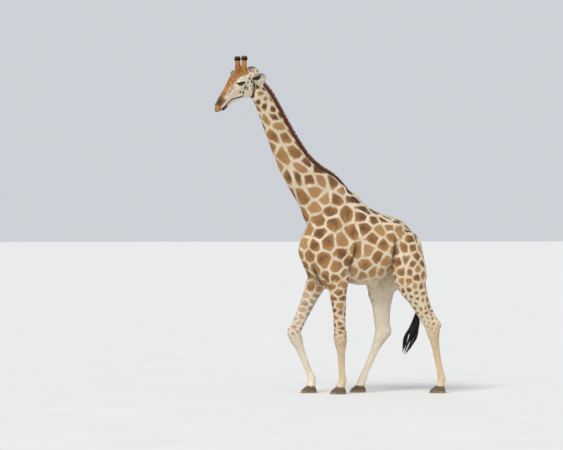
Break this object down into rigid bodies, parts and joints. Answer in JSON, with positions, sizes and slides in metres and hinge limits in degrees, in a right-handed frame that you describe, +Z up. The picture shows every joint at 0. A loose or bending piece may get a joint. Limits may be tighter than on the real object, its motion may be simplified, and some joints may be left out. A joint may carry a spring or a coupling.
{
  "type": "giraffe",
  "caption": "Life-size still model of a bull giraffe in mid-walk, head turned a little to its left, tail tuft hanging between the hind legs.",
  "frame": {"origin": "on the floor under the middle of the animal's overall length and width", "axes": "+Z up, -X the way the animal walks, -Y its left side"},
  "size_m": [3.5482, 0.7222, 5.0313],
  "materials": {
    "coat": "short flat hair, cream with lobed orange-brown patches",
    "mane": "stiff upright red-brown hair",
    "tuft": "long black hair",
    "knob": "bald dark horn skin",
    "eye": "wet dark brown eye",
    "hoof": "grey-brown horn, worn at the edge"
  },
  "bodies": {
    "root": {"head": "coat", "neck": "coat", "trunk": "coat", "tail": "coat", "left_ear": "coat", "right_ear": "coat", "left_ossicone": "coat", "right_ossicone": "coat", "left_fore_upper": "coat", "left_fore_lower": "coat", "right_fore_upper": "coat", "right_fore_lower": "coat", "left_hind_upper": "coat", "left_hind_lower": "coat", "right_hind_upper": "coat", "right_hind_lower": "coat", "mane": "mane", "tail_tuft": "tuft", "left_ossicone_knob": "knob", "right_ossicone_knob": "knob", "left_eye": "eye", "right_eye": "eye", "left_fore_hoof_outer": "hoof", "left_fore_hoof_inner": "hoof", "right_fore_hoof_outer": "hoof", "right_fore_hoof_inner": "hoof", "left_hind_hoof_outer": "hoof", "left_hind_hoof_inner": "hoof", "right_hind_hoof_outer": "hoof", "right_hind_hoof_inner": "hoof"}
  },
  "joints": []
}
